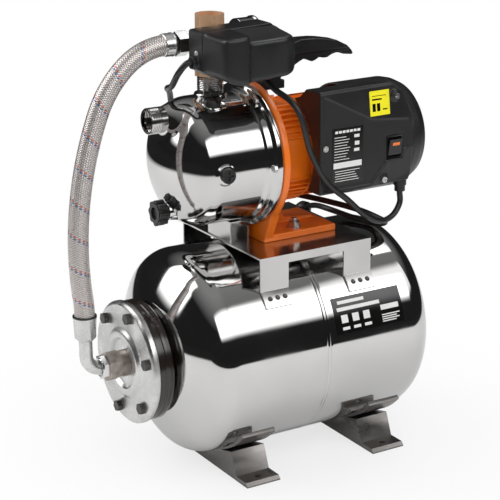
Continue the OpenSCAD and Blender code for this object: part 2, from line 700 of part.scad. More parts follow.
module switch_base() {
    boss_z = switch_port_z;
    color("#1d1d1f") difference() {
        union() {
            difference() {
                translate([0, switch_back_y, 0]) rotate([90, 0, 0]) linear_extrude(height = switch_back_y - switch_seam_y) switch_side(0);
                translate([0, switch_back_y - 3, 0]) rotate([90, 0, 0]) linear_extrude(height = 60) switch_side(3);
            }
            translate([-145, 0, 545]) rotate([0, 90, 0]) translate([0, -42, 0]) cylinder(h = 8, r = 8);
            translate([outlet_x, 0, boss_z]) rod_y(-44, -27, 13);
            translate([lever_pivot_x, lever_pivot_y, 0]) rod_z(switch_low + 1, switch_top, lever_pin_r);
        }
        translate([outlet_x, 0, boss_z]) rod_y(-41, -24, 9);
        translate([outlet_x, 0, boss_z]) rod_y(-50, -24, 4);
        translate([-147, -42, 545]) rotate([0, 90, 0]) cylinder(h = 14, r = 4.5);
        translate([-40, -45, 0]) rod_z(515, 540, 4.5);
    }
}
// the top falls toward the front over the right part
module switch_slope(x0, drop) {
    plate_x(x0, 10, [[-50, 586 + drop], [-120, 565.5 + drop], [-120, 620], [-50, 620]]);
}
module switch_cover() {
    color("#242426") difference() {
        intersection() {
            translate([0, switch_seam_y, 0]) rotate([90, 0, 0]) linear_extrude(height = 60) switch_side(0);
            translate([0, 0, 500]) linear_extrude(height = 100) switch_plan(0);
        }
        difference() {
            intersection() {
                translate([0, switch_seam_y + 1, 0]) rotate([90, 0, 0]) linear_extrude(height = 60) switch_side(2.5);
                translate([0, 1, 500]) linear_extrude(height = 100) switch_plan(2.5);
            }
            switch_slope(-101, -2.6);
        }
        switch_slope(-98.5, 0);
    }
}
module switch_piston() {
    color("silver") translate([outlet_x, 0, switch_port_z]) { rod_y(-52, -41.2, 3.9); rod_y(-55, -52, 4.2); }
}
lever_pivot_x = -60;
lever_pivot_y = -54;
lever_y = -55.2;
lever_pin_r = 1.5;
module contact_lever() {
    color("#caa04a") difference() {
        union() {
            box(-104, lever_pivot_x, lever_y - 1, lever_y, switch_port_z - 6, switch_port_z + 6);
            translate([lever_pivot_x, lever_pivot_y, 0]) rod_z(switch_port_z - 9, switch_port_z + 9, 3);
        }
        translate([lever_pivot_x, lever_pivot_y, 0]) rod_z(500, 600, lever_pin_r + run_gap);
    }
}
gauge_x = outlet_x + 28;
module gauge_at() { translate([gauge_x, 0, hose_port_z]) children(); }
gauge_deep = 24;
module gauge_case() {
    color("silver") gauge_at() difference() {
        union() {
            rod_x(10, 10 + gauge_deep, gauge_r);
            rod_x(9 + gauge_deep, 12 + gauge_deep, gauge_r + 1.5);
            rod_x(-10, 10, 5);
            hex_x(0, 10, 14);
        }
        rod_x(12, 13 + gauge_deep, gauge_r - 2);
        rod_x(-17, 12, 2);
    }
}
module gauge_dial() { color("white") gauge_at() difference() { rod_x(22, 23, gauge_r - 2); rod_x(21, 24, 1.2 + run_gap); } }
module gauge_pointer() {
    color("black") gauge_at() {
        rod_x(20, 27, 1.2);
        rod_x(24, 25.5, 3);
        rotate([135, 0, 0]) plate_x(24.2, 25.2, [[-1.2, -5], [1.2, -5], [0.4, gauge_r - 4.5], [-0.4, gauge_r - 4.5]]);
    }
}
module gauge_window() { color([0.8, 0.9, 1, 0.3]) gauge_at() rod_x(32, 34, gauge_r - 2); }
module carry_handle() {
    half = 11;
    color("#1a1a1c") {
        difference() {
            plate_y(-half, half, [[-30, 490], [-30, 499], [-14, 508], [0, 522], [10, 538], [20, 546], [34, 550], [56, 549.3],
                [69, 547.5], [89, 543.5], [105, 535.5], [113, 528.5], [116, 523.5], [114, 521.8], [101, 523.5], [94, 526],
                [89.5, 526.7], [82, 525], [75.5, 521.8], [70, 521.8], [63, 523.4], [56.5, 520], [52, 519], [47.8, 520.5],
                [43, 523.2], [39, 523.7], [31.4, 520.4], [20, 514], [8, 507], [2, 502], [9.4, 501], [9.4, 490]]);
            for (s = [-1, 1]) translate([0, s * (half + 2), 0]) box(20, 120, -3.5, 3.5, 500, 531);
        }
    }
}

// ---------- cables ----------
// chain of straight pieces with ball joints
joint_swell = 0.12;
module cable_run(pts, r) {
    for (i = [0:len(pts) - 2]) {
        d = pts[i + 1] - pts[i];
        translate(pts[i]) rotate([0, acos(d[2] / norm(d)), atan2(d[1], d[0])]) {
            cylinder(h = norm(d), r = r, $fn = 24);
            if (i > 0) sphere(r = r + joint_swell, $fn = 24);
        }
    }
}
module switch_cable() {
    color("#101010") cable_run([[-40, -45, 534], [-40, -45, 514], [-38, -66, 503], [-32, -92, 492], [-24, -103, 470], [-12, -103, 430],
        [12, -103, 388], [46, -102, 358], [76, -98, 332], [104, -92, 318], [128, -86, 320], [142, -82.5, 334],
        [gland_x, gland_y, 350], [gland_x, gland_y, 372]], 3.9);
}
module mains_cable() {
    plug = [102, 78, 296];
    color("#101010") {
        cable_run([[-137, -42, 545], [-150, -42, 545], [-158, -34, 532], [-154, -10, 512], [-144, 20, 502], [-120, 58, 486],
            [-96, 92, 446], [-70, 104, 400], [-40, 104, 364], [0, 88, 344], [40, 54, 334], [80, 6, 326], [106, -38, 320],
            [124, -60, 311], [137, -58, 302], [135, -38, 296], [118, -12, 300], [104, 20, 305], [101, 50, 304], plug], 3.9);
        translate(plug) rotate([-127, 0, 0]) {
            rod_z(0, 34, 11);
            rod_z(34, 40, 17);
            for (s = [-1, 1]) translate([s * 9.5, 0, 0]) rod_z(38, 58, 2.4);
        }
    }
}

module placed() { translate([-seam_back, 0, 0]) children(); }

placed() tank_shell();
placed() tank_neck_ring();
placed() tank_membrane();
placed() tank_flange();
placed() tank_flange_bolts();
placed() tank_nipple();
placed() tank_feet();
placed() pump_platform();
placed() casing_support();
placed() air_valve_body();
placed() air_valve_core();
placed() air_valve_cap();
placed() elbow_nut();
placed() hose_elbow();
placed() hose_ferrules();
placed() braided_hose();
placed() hose_upper_nut();
placed() pump_casing();
placed() suction_socket();
placed() outlet_nipple();
placed() casing_bolts();
placed() seal_plate();
placed() ejector();
placed() diffuser();
placed() impeller();
placed() seal_seat();
placed() seal_rotor();
placed() filler_plug();
placed() filler_plug_seal();
placed() side_plug();
placed() side_plug_seal();
placed() drain_knob();
placed() drain_knob_seal();
placed() motor_adapter();
placed() motor_housing();
placed() stator_core();
placed() stator_windings();
placed() rotor_core();
placed() motor_shaft();
placed() motor_bearings();
placed() rear_shield();
placed() cooling_fan();
placed() motor_cover();
placed() rocker_bezel();
placed() switch_rocker();
placed() cover_screws();
placed() base_bolts();
placed() cable_gland();
placed() five_way_fitting();
placed() switch_base();
placed() switch_cover();
placed() switch_piston();
placed() contact_lever();
placed() gauge_case();
placed() gauge_dial();
placed() gauge_pointer();
placed() gauge_window();
placed() carry_handle();
placed() switch_cable();
placed() mains_cable();
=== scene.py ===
"""Looks of the jet pump set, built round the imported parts.

Lengths are in metres, and MM turns millimetres into them. Most places are given with at(),
in millimetres from the tank's weld seam, the centre plane and the floor.
"""
import json
import math

import bmesh
import bpy
from mathutils import Matrix, Quaternion, Vector, noise


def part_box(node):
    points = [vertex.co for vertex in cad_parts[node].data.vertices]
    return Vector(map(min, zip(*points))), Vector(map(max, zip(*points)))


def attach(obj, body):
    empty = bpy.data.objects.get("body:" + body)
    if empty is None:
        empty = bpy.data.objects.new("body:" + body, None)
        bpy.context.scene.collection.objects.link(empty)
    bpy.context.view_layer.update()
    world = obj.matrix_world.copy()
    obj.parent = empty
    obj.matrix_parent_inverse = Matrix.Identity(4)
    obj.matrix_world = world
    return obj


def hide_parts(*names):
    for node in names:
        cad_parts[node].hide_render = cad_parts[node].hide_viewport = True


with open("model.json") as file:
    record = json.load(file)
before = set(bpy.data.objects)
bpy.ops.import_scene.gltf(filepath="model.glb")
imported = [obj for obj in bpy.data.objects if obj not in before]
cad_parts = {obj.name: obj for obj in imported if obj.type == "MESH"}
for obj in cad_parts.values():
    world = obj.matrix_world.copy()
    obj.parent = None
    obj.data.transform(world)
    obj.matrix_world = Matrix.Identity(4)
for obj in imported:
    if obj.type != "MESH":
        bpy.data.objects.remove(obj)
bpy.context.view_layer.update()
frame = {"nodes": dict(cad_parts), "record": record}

MM = 0.001
X, Y, Z = Vector((1, 0, 0)), Vector((0, 1, 0)), Vector((0, 0, 1))
# the frame starts midway between the foot holes, and the weld seam lies this far toward the flange
SEAM_X = -12.5 * MM
PUMP_Z = sum(corner[2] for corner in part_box("motor_housing")) / 2
BODY_OF = {node: body for body, nodes in frame["record"]["behaviour"]["bodies"].items() for node in nodes}
SLOT_OF = {part["node"]: part["material_slot"] for part in frame["record"]["subparts"]}


def span(node, axis):
    """Lowest and highest value of a CAD node along x, y or z."""
    lo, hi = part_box(node)
    return lo[axis], hi[axis]


def at(x, y, z):
    """Place given in millimetres from the tank's weld seam, the centre plane and the floor."""
    return Vector((SEAM_X + x * MM, y * MM, z * MM))


# ---------- materials ----------
class Paint:
    """A Principled material with short calls for the patterns that vary it."""

    def __init__(self, name, base, rough, metal=0.0, coat=0.0):
        self.mat = bpy.data.materials.new(name)
        self.mat.use_nodes = True
        self.tree = self.mat.node_tree
        self.surface = self.tree.nodes["Principled BSDF"]
        self.base = (*base, 1.0)
        self.rough = rough
        self.set("Base Color", self.base)
        self.set("Roughness", rough)
        self.set("Metallic", metal)
        self.set("Coat Weight", coat)
        self.set("Coat Roughness", 0.1)
        coords = self.tree.nodes.new("ShaderNodeNewGeometry")
        self.place = coords.outputs["Position"]
        self.height = None

    def set(self, socket, value):
        self.surface.inputs[socket].default_value = value

    def link(self, a, b):
        self.tree.links.new(a, b)

    def add(self, kind, **settings):
        n = self.tree.nodes.new(kind)
        for key, value in settings.items():
            setattr(n, key, value)
        return n

    def stretched(self, stretch):
        mapping = self.add("ShaderNodeMapping")
        mapping.inputs["Scale"].default_value = stretch
        self.link(self.place, mapping.inputs["Vector"])
        return mapping.outputs["Vector"]

    def noise(self, scale, detail=3.0, stretch=(1, 1, 1)):
        n = self.add("ShaderNodeTexNoise")
        n.inputs["Scale"].default_value = scale
        n.inputs["Detail"].default_value = detail
        self.link(self.stretched(stretch), n.inputs["Vector"])
        return n.outputs["Fac"]

    def cells(self, scale):
        n = self.add("ShaderNodeTexVoronoi")
        n.inputs["Scale"].default_value = scale
        self.link(self.place, n.inputs["Vector"])
        return n.outputs["Distance"]

    def ramp(self, value, low, high, low_at=0.35, high_at=0.65):
        n = self.add("ShaderNodeMapRange", clamp=True)
        self.link(value, n.inputs["Value"])
        for socket, v in (("From Min", low_at), ("From Max", high_at), ("To Min", low), ("To Max", high)):
            n.inputs[socket].default_value = v
        return n.outputs["Result"]

    def colours(self, factor, other, amount=1.0):
        """Mixes the colour so far towards another by a pattern."""
        mix = self.add("ShaderNodeMix", data_type="RGBA")
        scaled = self.ramp(factor, 0.0, amount, 0.0, 1.0)
        self.link(scaled, mix.inputs["Factor"])
        source = self.surface.inputs["Base Color"]
        if source.links:
            self.link(source.links[0].from_socket, mix.inputs["A"])
        else:
            mix.inputs["A"].default_value = source.default_value
        mix.inputs["B"].default_value = (*other, 1.0)
        self.link(mix.outputs["Result"], source)
        return self

    def mottle(self, scale, amount, stretch=(1, 1, 1)):
        """Lightens and darkens the colour in soft patches."""
        dark = tuple(c * (1 - amount) for c in self.base[:3])
        return self.colours(self.ramp(self.noise(scale, 4.0, stretch), 0, 1), dark)

    def smear(self, scale, low, high, stretch=(1, 1, 1)):
        """Roughness between low and high in a cloudy pattern."""
        self.link(self.ramp(self.noise(scale, 5.0, stretch), low, high), self.surface.inputs["Roughness"])
        return self

    def grain(self, value, depth_mm):
        """Adds a height pattern to the bump."""
        bump = self.add("ShaderNodeBump")
        bump.inputs["Distance"].default_value = depth_mm * MM
        self.link(value, bump.inputs["Height"])
        if self.height is not None:
            self.link(self.height, bump.inputs["Normal"])
        self.height = bump.outputs["Normal"]
        self.link(self.height, self.surface.inputs["Normal"])
        return self

    def attribute(self, name):
        n = self.add("ShaderNodeAttribute", attribute_name=name)
        return n.outputs["Fac"]


def polished_steel(name, base=(0.66, 0.655, 0.65), rough=0.035, waves=0.25):
    """Mirror sheet: faint polishing lines, smudges and a sheet that is never quite flat."""
    p = Paint(name, base, rough, metal=1.0)
    p.smear(14.0, rough, rough * 2.6).mottle(9.0, 0.06)
    p.grain(p.noise(11.0, 2.0), waves)
    return p.grain(p.noise(160.0, 3.0, (0.05, 1, 1)), 0.004).mat


def brushed(name, base, rough, stretch=(0.06, 1, 1), grain_mm=0.02, metal=1.0):
    p = Paint(name, base, rough, metal=metal)
    p.smear(60.0, rough * 0.75, rough * 1.3, stretch).mottle(35.0, 0.14)
    return p.grain(p.noise(900.0, 3.0, stretch), grain_mm).mat


def galvanised(name, base, rough):
    """Zinc coat: spangle cells, rubbed spots and fine scratches."""
    p = Paint(name, base, rough, metal=1.0)
    spangle = p.ramp(p.cells(210.0), 0, 1, 0.15, 0.75)
    p.mottle(48.0, 0.18).colours(spangle, tuple(c * 0.82 for c in base), 0.6)
    p.smear(30.0, rough * 0.7, rough * 1.4)
    p.grain(p.noise(700.0, 4.0, (1, 0.3, 1)), 0.03)
    return p.grain(p.noise(60.0, 2.0), 0.10).mat


def cast(name, base, rough, metal):
    p = Paint(name, base, rough, metal=metal)
    p.mottle(120.0, 0.35).grain(p.noise(500.0, 5.0), 0.12)
    return p.grain(p.cells(900.0), 0.05).mat


def painted(name, base, rough):
    """Powder coat: orange peel and a soft, slightly cloudy sheen."""
    p = Paint(name, base, rough, coat=0.35)
    p.set("Coat Roughness", 0.18)
    p.mottle(22.0, 0.16).smear(18.0, rough * 0.85, rough * 1.15)
    return p.grain(p.noise(420.0, 2.0), 0.02).mat


def plastic(name, base, rough, grain_mm=0.008, scale=1500.0, mould=0.15):
    """Moulded plastic: fine spark texture and a cloudy gloss."""
    p = Paint(name, base, rough)
    p.mottle(26.0, mould).smear(24.0, rough * 0.85, rough * 1.15)
    return p.grain(p.noise(scale, 2.0), grain_mm).mat


def printed(name, base, rough=0.35):
    p = Paint(name, base, rough)
    return p.mottle(90.0, 0.06).grain(p.noise(800.0, 2.0), 0.01).mat


def glass(name):
    p = Paint(name, (0.95, 0.98, 1.0), 0.03)
    p.set("Transmission Weight", 1.0)
    p.set("IOR", 1.2)
    return p.smear(40.0, 0.02, 0.06).mat


def wire_braid(name):
    """Woven wire: tones from the mesh, painted shade darkening the gaps between strands, red and blue
    marker threads.
    """
    p = Paint(name, (0.72, 0.675, 0.65), 0.3, metal=0.7)
    # painted shade: near black where strands part and where one dips under another
    p.colours(p.attribute("gap_shade"), (0.13, 0.105, 0.10), 0.95)
    p.colours(p.attribute("blue"), (0.06, 0.16, 0.42), 0.95)
    p.colours(p.attribute("red"), (0.62, 0.12, 0.06), 0.95)
    return p.smear(200.0, 0.26, 0.4).mat


YELLOW = printed("yellow_print", (0.86, 0.78, 0.01))

LOOKS = {
    "mirror_steel": polished_steel("mirror_steel"),
    "sheet_steel": polished_steel("sheet_steel", (0.6, 0.59, 0.58), 0.1, 0.12),
    "foot_steel": brushed("foot_steel", (0.27, 0.255, 0.245), 0.33, (0.3, 0.06, 1), 0.04),
    "zinc_steel": galvanised("zinc_steel", (0.74, 0.74, 0.73), 0.3),
    "dark_steel": galvanised("dark_steel", (0.12, 0.115, 0.11), 0.36),
    "chrome_plate": polished_steel("chrome_plate", (0.76, 0.76, 0.76), 0.07, 0.05),
    "shaft_steel": brushed("shaft_steel", (0.62, 0.62, 0.63), 0.22, (0.05, 1, 1)),
    "core_steel": brushed("core_steel", (0.36, 0.38, 0.4), 0.4, (40, 1, 1)),
    "brass": brushed("brass", (0.80, 0.50, 0.30), 0.32, (1, 1, 0.05), 0.015, 0.5),
    "raw_casting": cast("raw_casting", (0.5, 0.44, 0.4), 0.42, 0.85),
    "ceramic": printed("ceramic", (0.8, 0.77, 0.7), 0.2),
    "copper": brushed("copper", (0.6, 0.24, 0.11), 0.35, (1, 0.05, 1)),
    "orange_paint": painted("orange_paint", (0.84, 0.17, 0.006), 0.33),
    "dark_enamel": painted("dark_enamel", (0.018, 0.013, 0.011), 0.16),
    "black_plastic": plastic("black_plastic", (0.012, 0.012, 0.012), 0.34),
    "gloss_black": plastic("gloss_black", (0.006, 0.006, 0.006), 0.14, 0.004, 900.0, 0.3),
    "cover_plastic": plastic("cover_plastic", (0.0125, 0.0118, 0.0124), 0.40),
    "switch_plastic": plastic("switch_plastic", (0.0125, 0.0127, 0.0135), 0.36, 0.004),
    "handle_plastic": plastic("handle_plastic", (0.011, 0.011, 0.012), 0.3, 0.005),
    "moulded_plastic": plastic("moulded_plastic", (0.1, 0.1, 0.11), 0.45),
    "black_rubber": plastic("black_rubber", (0.014, 0.014, 0.014), 0.6, 0.02),
    "cable_sheath": plastic("cable_sheath", (0.012, 0.012, 0.0125), 0.36, 0.01, 700.0),
    "dial_white": printed("dial_white", (0.74, 0.74, 0.72)),
    "clear": glass("clear"),
    "hose_braid": wire_braid("hose_braid"),
}


def dress(obj, slot):
    obj.data.materials.clear()
    obj.data.materials.append(LOOKS[slot])
    for face in obj.data.polygons:
        face.material_index = 0


# ---------- mesh helpers ----------
def shade(mesh, sharp_deg=35.0):
    mesh.shade_smooth()
    mesh.set_sharp_from_angle(angle=math.radians(sharp_deg))


def piece(name, bm, nodes, slot=None, sharp_deg=35.0, body=None, look=None):
    """A finished piece from a bmesh: dressed, riding on its node's body, standing for its nodes."""
    mesh = bpy.data.meshes.new(name)
    bmesh.ops.recalc_face_normals(bm, faces=bm.faces)
    bm.to_mesh(mesh)
    bm.free()
    shade(mesh, sharp_deg)
    obj = bpy.data.objects.new(name, mesh)
    bpy.context.scene.collection.objects.link(obj)
    slot = slot or SLOT_OF[nodes[0]]
    dress(obj, slot)
    if look:
        obj.data.materials[0] = look
    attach(obj, body or BODY_OF[nodes[0]])
    if nodes:
        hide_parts(*nodes)
    return obj


def flat_joined(bm):
    """Welds a CAD mesh and joins its flat triangles, so that edges can be rounded."""
    flat_deg = 0.6
    bmesh.ops.remove_doubles(bm, verts=bm.verts, dist=2e-6)
    bmesh.ops.dissolve_limit(bm, angle_limit=math.radians(flat_deg), verts=bm.verts, edges=bm.edges)


def softened(node, width_mm):
    """A CAD node's shape remade with its sharp edges rounded."""
    sharp_deg = 32.0
    bm = bmesh.new()
    bm.from_mesh(frame["nodes"][node].data)
    flat_joined(bm)
    obj = piece(node + "_part", bm, [node])
    bevel = obj.modifiers.new("edges", "BEVEL")
    bevel.width = width_mm * MM
    bevel.segments = 2
    bevel.limit_method = "ANGLE"
    bevel.angle_limit = math.radians(sharp_deg)
    bevel.harden_normals = True
    bevel.miter_outer = "MITER_ARC"


def melted(node, voxel_mm, rounds, move=None, soft_zone=None, zone_rounds=0):
    """A CAD node remade as one fine mesh with soft edges, softer still where soft_zone holds."""
    rough = bpy.data.objects.new("rough", frame["nodes"][node].data.copy())
    bpy.context.scene.collection.objects.link(rough)
    grid = rough.modifiers.new("grid", "REMESH")
    grid.mode, grid.voxel_size = "VOXEL", voxel_mm * MM
    soft = rough.modifiers.new("soft", "SMOOTH")
    soft.factor, soft.iterations = 0.5, rounds
    bpy.context.view_layer.update()
    bm = bmesh.new()
    bm.from_object(rough, bpy.context.evaluated_depsgraph_get())
    bpy.data.objects.remove(rough)
    if soft_zone:
        zone = [v for v in bm.verts if soft_zone(v.co)]
        every_way = {f"use_axis_{axis}": True for axis in "xyz"}
        for _ in range(zone_rounds):
            bmesh.ops.smooth_vert(bm, verts=zone, factor=0.5, **every_way)
    if move:
        for v in bm.verts:
            v.co += move(v.co)
    piece(node + "_part", bm, [node], sharp_deg=60)


def arc(cx, cy, r, a0, a1, steps):
    """Points of an arc in degrees, ends included."""
    angles = [math.radians(a0 + (a1 - a0) * i / steps) for i in range(steps + 1)]
    return [(cx + r * math.cos(a), cy + r * math.sin(a)) for a in angles]


def basis(origin, along):
    """Matrix whose local X runs along a direction, with local Z as near upright as it can be."""
    x = Vector(along).normalized()
    up = Z if abs(x.z) < 0.9 else Y
    y = up.cross(x).normalized()
    z = x.cross(y)
    return Matrix.Translation(origin) @ Matrix((x, y, z)).transposed().to_4x4()


def lathe(profile, origin, along=X, steps=96, shift=None):
    """Turns (distance, radius) points in metres round an axis into a closed skin."""
    bm = bmesh.new()
    place = basis(origin, along)
    rings = []
    for x, r in profile:
        if r < 1e-7:
            rings.append([bm.verts.new(place @ Vector((x, 0, 0)))])
            continue
        turn = [2 * math.pi * i / steps for i in range(steps)]
        rings.append([bm.verts.new(place @ Vector((x, r * math.sin(a), r * math.cos(a)))) for a in turn])
    for a, b in zip(rings, rings[1:]):
        for i in range(steps):
            j = (i + 1) % steps
            corners = [a[i % len(a)], a[j % len(a)], b[j % len(b)], b[i % len(b)]]
            corners = list(dict.fromkeys(corners))
            if len(corners) > 2:
                bm.faces.new(corners)
    if shift:
        for v in bm.verts:
            v.co += shift(v.co)
    return bm


# ---------- floor, light and camera ----------
def stage():
    """Pale floor: white to the camera away from the set, and dark to mirrors beyond the table's edge."""
    table_r, glow_from, glow_to = 1.55, 0.12, 0.5
    bm = bmesh.new()
    bmesh.ops.create_circle(bm, cap_ends=True, segments=96, radius=9.0)
    mesh = bpy.data.meshes.new("floor")
    bm.to_mesh(mesh)
    bm.free()
    floor = bpy.data.objects.new("floor", mesh)
    bpy.context.scene.collection.objects.link(floor)
    p = Paint("floor", (0.86, 0.86, 0.86), 0.9)
    tree = p.tree
    path = p.add("ShaderNodeLightPath")
    distance = p.add("ShaderNodeVectorMath", operation="LENGTH")
    p.link(p.place, distance.inputs[0])
    beyond = p.ramp(distance.outputs["Value"], 0, 1, table_r, table_r + 0.35)
    hidden = p.add("ShaderNodeMath", operation="MULTIPLY")
    p.link(beyond, hidden.inputs[0])
    p.link(path.outputs["Is Glossy Ray"], hidden.inputs[1])
    dark = p.add("ShaderNodeEmission")
    dark.inputs["Color"].default_value = (0.02, 0.02, 0.02, 1)
    mix = p.add("ShaderNodeMixShader")
    out = tree.nodes["Material Output"]
    p.link(hidden.outputs[0], mix.inputs["Fac"])
    white = p.add("ShaderNodeEmission")
    open_floor = p.ramp(distance.outputs["Value"], 0.72, 1.0, glow_from, glow_to)
    whitened = p.add("ShaderNodeMath", operation="MULTIPLY")
    p.link(open_floor, whitened.inputs[0])
    p.link(path.outputs["Is Camera Ray"], whitened.inputs[1])
    seen = p.add("ShaderNodeMixShader")
    p.link(whitened.outputs[0], seen.inputs["Fac"])
    p.link(p.surface.outputs[0], seen.inputs[1])
    p.link(white.outputs[0], seen.inputs[2])
    p.link(seen.outputs[0], mix.inputs[1])
    p.link(dark.outputs[0], mix.inputs[2])
    p.link(mix.outputs[0], out.inputs["Surface"])
    mesh.materials.append(p.mat)


def toward(azimuth, elevation):
    """Direction given in degrees; azimuth 0 is the front, positive to the right."""
    a, e = math.radians(azimuth), math.radians(elevation)
    return Vector((math.sin(a) * math.cos(e), -math.cos(a) * math.cos(e), math.sin(e)))


def faded(data, side_fade, end_fade):
    """Dims an area light toward its sides and ends, as a softbox's diffuser does."""
    data.use_nodes = True
    tree = data.node_tree
    new, link = tree.nodes.new, tree.links.new
    place, split = new("ShaderNodeNewGeometry"), new("ShaderNodeSeparateXYZ")
    link(place.outputs["Parametric"], split.inputs[0])
    shares = []
    for axis, fade in (("X", side_fade), ("Y", end_fade)):
        mirrored, edge = new("ShaderNodeMath"), new("ShaderNodeMapRange")
        mirrored.operation = "PINGPONG"
        mirrored.inputs[1].default_value = 0.5
        link(split.outputs[axis], mirrored.inputs[0])
        link(mirrored.outputs[0], edge.inputs["Value"])
        edge.interpolation_type = "SMOOTHSTEP"
        edge.inputs["From Max"].default_value = fade
        shares.append(edge.outputs["Result"])
    both = new("ShaderNodeMath")
    both.operation = "MULTIPLY"
    link(shares[0], both.inputs[0])
    link(shares[1], both.inputs[1])
    link(both.outputs[0], tree.nodes["Emission"].inputs["Strength"])


def softbox(name, azimuth, elevation, distance, width, height, watts, side_fade=0.1, end_fade=0.2):
    """Area light that faces the set."""
    aim = Vector((0, 0, 0.3))
    back = toward(azimuth, elevation)
    data = bpy.data.lights.new(name, "AREA")
    data.shape = "RECTANGLE"
    data.size, data.size_y, data.energy = width, height, watts
    faded(data, side_fade, end_fade)
    obj = bpy.data.objects.new(name, data)
    obj.location = aim + back * distance
    obj.rotation_mode = "QUATERNION"
    obj.rotation_quaternion = back.to_track_quat("Z", "Y")
    bpy.context.scene.collection.objects.link(obj)


def surroundings():
    """White to the camera, a dark room with a dim ceiling to mirrors, and a soft grey fill to the rest."""
    world = bpy.data.worlds.new("room")
    world.use_nodes = True
    bpy.context.scene.world = world
    tree = world.node_tree
    tree.nodes.clear()
    new, link = tree.nodes.new, tree.links.new
    out, path = new("ShaderNodeOutputWorld"), new("ShaderNodeLightPath")
    coords, split = new("ShaderNodeTexCoord"), new("ShaderNodeSeparateXYZ")
    link(coords.outputs["Generated"], split.inputs[0])
    ceiling = new("ShaderNodeMapRange")
    link(split.outputs["Z"], ceiling.inputs["Value"])
    for socket, v in (("From Min", 0.45), ("From Max", 0.95), ("To Min", 0.016), ("To Max", 0.3)):
        ceiling.inputs[socket].default_value = v

    def background(strength):
        n = new("ShaderNodeBackground")
        n.inputs["Strength"].default_value = strength
        return n

    room, fill, white = background(1.0), background(0.5), background(1.0)
    link(ceiling.outputs["Result"], room.inputs["Color"])
    shine, seen = new("ShaderNodeMixShader"), new("ShaderNodeMixShader")
    fill.inputs["Color"].default_value = white.inputs["Color"].default_value = (1, 1, 1, 1)
    link(path.outputs["Is Glossy Ray"], shine.inputs["Fac"])
    link(fill.outputs[0], shine.inputs[1])
    link(room.outputs[0], shine.inputs[2])
    link(path.outputs["Is Camera Ray"], seen.inputs["Fac"])
    link(shine.outputs[0], seen.inputs[1])
    link(white.outputs[0], seen.inputs[2])
    link(seen.outputs[0], out.inputs["Surface"])
    softbox("key_box", 3, 37, 2.6, 4.2, 1.75, 60, 0.12, 0.3)
    softbox("side_box", 50, 34, 2.6, 1.1, 1.5, 6)
    softbox("left_box", -124, 36, 2.4, 1.6, 2.5, 40)
    softbox("top_box", 98, 62, 2.2, 0.9, 0.9, 8)


def camera():
    """The photographer's place: turned to the left of the front, a little above, with a long lens."""
    distance, roll = 2.218, -0.26
    aim = at(-37, 0, 277.8)
    back = toward(-31.46, 18.0)
    data = bpy.data.cameras.new("camera")
    data.sensor_width = 36.0
    data.lens = 122.4
    obj = bpy.data.objects.new("camera", data)
    obj.location = aim + back * distance
    obj.rotation_mode = "QUATERNION"
    obj.rotation_quaternion = (-back).to_track_quat("-Z", "Y")
    obj.rotation_quaternion = obj.rotation_quaternion @ Quaternion(Z, math.radians(roll))
    bpy.context.scene.collection.objects.link(obj)
    bpy.context.scene.camera = obj
    bpy.context.scene.view_settings.view_transform = "Standard"


stage()
surroundings()
camera()


# ---------- tank ----------
TANK_LOW, TANK_HIGH = span("tank_shell", 2)
SEAM_LAP = 0.7 * MM
TANK_R = (TANK_HIGH - TANK_LOW) / 2 - SEAM_LAP
TANK_Z = (TANK_HIGH + TANK_LOW) / 2
TANK_END = span("tank_shell", 0)[1] - SEAM_X
TANK_AXIS = Vector((SEAM_X, 0, TANK_Z))


def dished(r, crown, knuckle, barrel_end, steps=22):
    """Outline of a pressed head from its tip to the barrel, as (x, radius), opening toward -X."""
    kx = r - knuckle
    depth = math.sqrt((crown - knuckle) ** 2 - kx ** 2)
    lean = math.degrees(math.asin(kx / (crown - knuckle)))
    tip = arc(0, 0, crown, 0, lean, steps)
    turn = arc(0, kx, knuckle, lean, 90, steps)
    return [(barrel_end - depth + x, y) for x, y in tip] + [(barrel_end + x, y) for x, y in turn[1:]]


def tank():
    """Tank shell: two pressed heads and a barrel with a weld bead round its middle."""
    crown, knuckle = 200 * MM, 40 * MM
    kx = TANK_R - knuckle
    barrel = TANK_END + math.sqrt((crown - knuckle) ** 2 - kx ** 2) - crown
    head = dished(TANK_R, crown, knuckle, barrel)
    half_bead, bead_steps = 1.6 * MM, 8
    shares = [i / bead_steps for i in range(bead_steps + 1)]
    seam = [(half_bead * (1 - 2 * t), TANK_R + SEAM_LAP * 0.5 * math.sin(math.pi * t)) for t in shares]
    side = [(barrel * (1 - i / 24), TANK_R) for i in range(1, 24)]
    groove = [(x, TANK_R) for x in (5 * MM, 3 * MM)] + [(2.3 * MM, TANK_R - 0.5 * MM)]
    right = head + side[:-1] + groove
    left = [(-x, r) for x, r in reversed(right)]

    def drawn(co):
        """Sheet that springs a little off round, most of all in the heads."""
        soft = noise.noise(co * 9.0) * 0.25 * MM
        return Vector((0, co.y, co.z - TANK_Z)).normalized() * soft

    bm = lathe(right + seam + left, TANK_AXIS, X, 288, drawn)
    piece("tank_skin", bm, ["tank_shell"], sharp_deg=60)


def in_mm(profile):
    """Profile in metres from one in millimetres."""
    return [(x * MM, r * MM) for x, r in profile]


